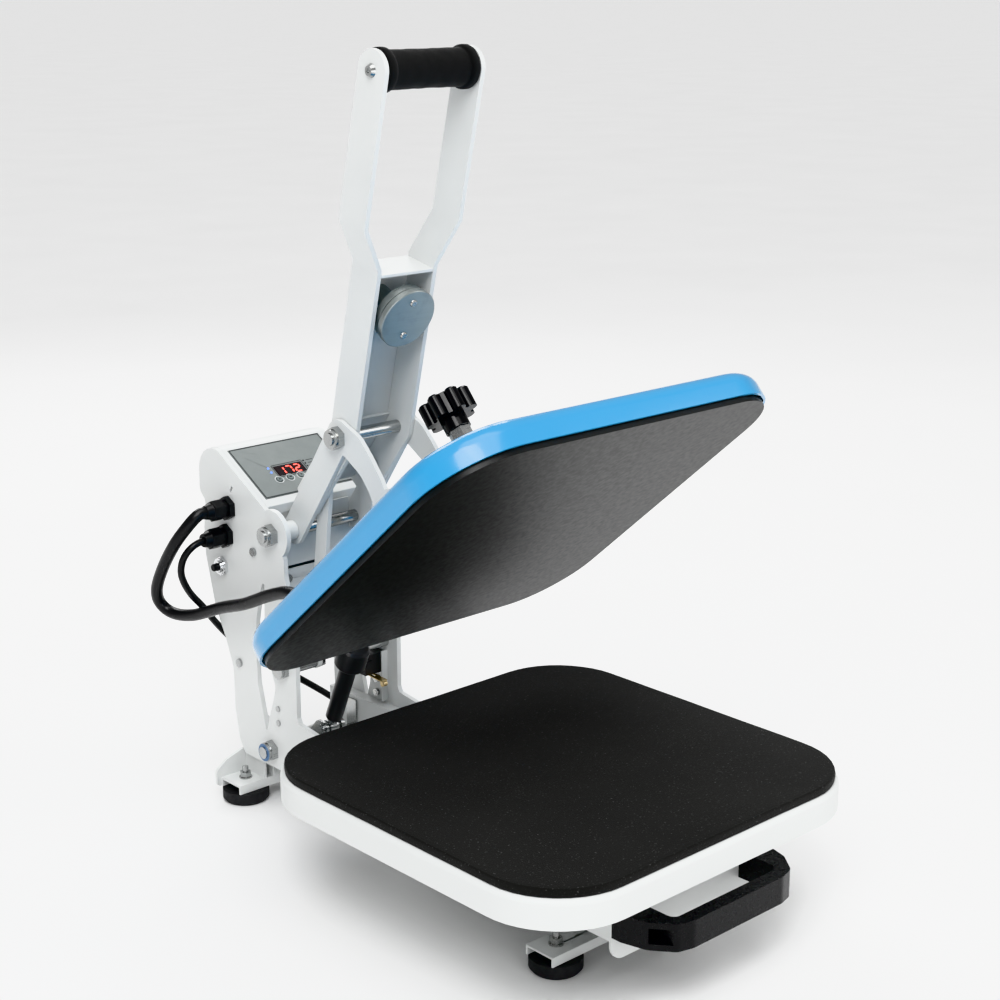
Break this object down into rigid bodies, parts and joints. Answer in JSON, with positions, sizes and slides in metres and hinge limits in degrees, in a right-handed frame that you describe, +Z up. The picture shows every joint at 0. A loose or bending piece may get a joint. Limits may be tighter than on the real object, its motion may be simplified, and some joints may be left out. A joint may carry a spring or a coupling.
{
  "type": "heat press",
  "caption": "Clamshell heat press with a swing-up heated platen, slide-out print table, long lever and sloped control box.",
  "frame": {"origin": "middle of the press's footprint box on the floor, measured without the mains cord, its coil and its plug, press open and table drawn forward", "axes": "+Z up, -Y towards the operator, +X to the operator's right, parallel to every hinge of the press"},
  "size_m": [0.4596, 0.6654, 0.7342],
  "materials": {
    "frame_paint": "powder coated",
    "cover_paint": "gloss",
    "black_paint": "satin",
    "zinc_steel": "zinc plated",
    "chrome": "polished",
    "brass": "satin",
    "rubber": "matte",
    "foam_pad": "matte sponge",
    "grip_foam": "matte foam",
    "black_plastic": "matte",
    "knob_plastic": "semi gloss",
    "key_plastic": "matte",
    "overlay": "matte film",
    "display_window": "gloss",
    "digits": "lit",
    "leds": "lit",
    "heat_plate": "non-stick coated",
    "magnet_face": "dark, ground rim",
    "cord_pvc": "matte"
  },
  "bodies": {
    "base": {"side_plate_left": "frame_paint", "side_plate_right": "frame_paint", "front_channel": "frame_paint", "rear_channel": "frame_paint", "base_rails": "frame_paint", "slide_rails": "zinc_steel", "feet": "rubber", "foot_bolts": "zinc_steel", "tower_bolts": "zinc_steel", "main_shaft": "zinc_steel", "shaft_spacers": "frame_paint", "link_studs": "zinc_steel", "control_shell": "frame_paint", "panel_overlay": "overlay", "display_window": "display_window", "display_digits": "digits", "status_leds": "leds", "tower_cover": "frame_paint", "small_screws": "zinc_steel", "cable_glands": "black_plastic", "breaker_body": "chrome", "limit_switch": "black_plastic", "switch_bracket": "frame_paint", "spring_anchor": "zinc_steel", "power_cord": "cord_pvc", "cord_coil": "cord_pvc", "mains_plug": "black_plastic"},
    "button_one": {"button_one": "key_plastic"},
    "button_two": {"button_two": "key_plastic"},
    "button_three": {"button_three": "key_plastic"},
    "button_four": {"button_four": "key_plastic"},
    "reset_button": {"reset_button": "black_plastic"},
    "switch_lever": {"switch_lever": "brass"},
    "drawer": {"print_tray": "frame_paint", "foam_pad": "foam_pad", "drawer_frame": "frame_paint", "drawer_runners": "zinc_steel", "pull_handle": "black_plastic", "handle_screws": "zinc_steel"},
    "arm": {"arm_plate_left": "frame_paint", "arm_plate_right": "frame_paint", "arm_bridge": "frame_paint", "platen_cover": "cover_paint", "heat_plate": "heat_plate", "pressure_stud": "zinc_steel", "lever_shaft": "zinc_steel", "platen_gland": "black_plastic", "heater_cable": "cord_pvc"},
    "star_knob": {"star_knob": "knob_plastic"},
    "lever": {"lever_bar_left": "frame_paint", "lever_bar_right": "frame_paint", "lever_web": "frame_paint", "grip_rod": "zinc_steel", "foam_grip": "grip_foam", "lever_screws": "zinc_steel", "magnet_body": "magnet_face"},
    "links": {"links": "frame_paint"},
    "gas_tube": {"gas_tube": "black_paint", "gas_tube_end": "zinc_steel"},
    "gas_rod": {"gas_rod": "chrome"}
  },
  "joints": [
    {"name": "table_slide", "type": "slide", "parent": "base", "child": "drawer", "axis": [0, 1, 0], "range_m": [-0.06, 0.093]},
    {"name": "arm_hinge", "type": "hinge", "parent": "base", "child": "arm", "pos_m": [0, 0.19548, 0.2825], "axis": [1, 0, 0], "range_deg": [0, 41], "stiffness_Nm_per_rad": 16, "springref_deg": -148.97, "deforming": ["heater_cable"]},
    {"name": "lever_hinge", "type": "hinge", "parent": "arm", "child": "lever", "pos_m": [0, 0.12298, 0.3855], "axis": [1, 0, 0], "range_deg": [0, 32.1]},
    {"name": "link_hinge", "type": "hinge", "parent": "base", "child": "links", "pos_m": [0, 0.18348, 0.151], "axis": [1, 0, 0], "range_deg": [0, 9.9]},
    {"name": "gas_tube_hinge", "type": "hinge", "parent": "base", "child": "gas_tube", "pos_m": [0, 0.19648, 0.07], "axis": [1, 0, 0], "range_deg": [-13.5, 0]},
    {"name": "gas_rod_slide", "type": "slide", "parent": "gas_tube", "child": "gas_rod", "axis": [0, -0.3999, 0.9165], "range_m": [-0.049, 0]},
    {"name": "knob_turn", "type": "hinge", "parent": "arm", "child": "star_knob", "pos_m": [0, -0.06752, 0.328], "axis": [0, 0.6561, 0.7547], "range_deg": [-360, 360]},
    {"name": "button_one_press", "type": "slide", "parent": "base", "child": "button_one", "axis": [0, 0.5045, -0.8634], "range_m": [0, 0.0008], "stiffness_N_per_m": 600, "springref_m": -0.0008},
    {"name": "button_two_press", "type": "slide", "parent": "base", "child": "button_two", "axis": [0, 0.5045, -0.8634], "range_m": [0, 0.0008], "stiffness_N_per_m": 600, "springref_m": -0.0008},
    {"name": "button_three_press", "type": "slide", "parent": "base", "child": "button_three", "axis": [0, 0.5045, -0.8634], "range_m": [0, 0.0008], "stiffness_N_per_m": 600, "springref_m": -0.0008},
    {"name": "button_four_press", "type": "slide", "parent": "base", "child": "button_four", "axis": [0, 0.5045, -0.8634], "range_m": [0, 0.0008], "stiffness_N_per_m": 600, "springref_m": -0.0008},
    {"name": "reset_press", "type": "slide", "parent": "base", "child": "reset_button", "axis": [1, 0, 0], "range_m": [0, 0.0012], "stiffness_N_per_m": 600, "springref_m": -0.0008},
    {"name": "switch_lever_hinge", "type": "hinge", "parent": "base", "child": "switch_lever", "pos_m": [0, 0.20048, 0.1174], "axis": [1, 0, 0], "range_deg": [-3, 0], "stiffness_Nm_per_rad": 0.05, "springref_deg": 17.19}
  ],
  "couplings": [
    {"joint": "lever_hinge", "follows": "arm_hinge", "ratio": 0.7805},
    {"joint": "link_hinge", "follows": "arm_hinge", "ratio": 0.239},
    {"joint": "gas_tube_hinge", "follows": "arm_hinge", "ratio": -0.327},
    {"joint": "gas_rod_slide", "follows": "arm_hinge", "m_per_rad": -0.0667}
  ]
}
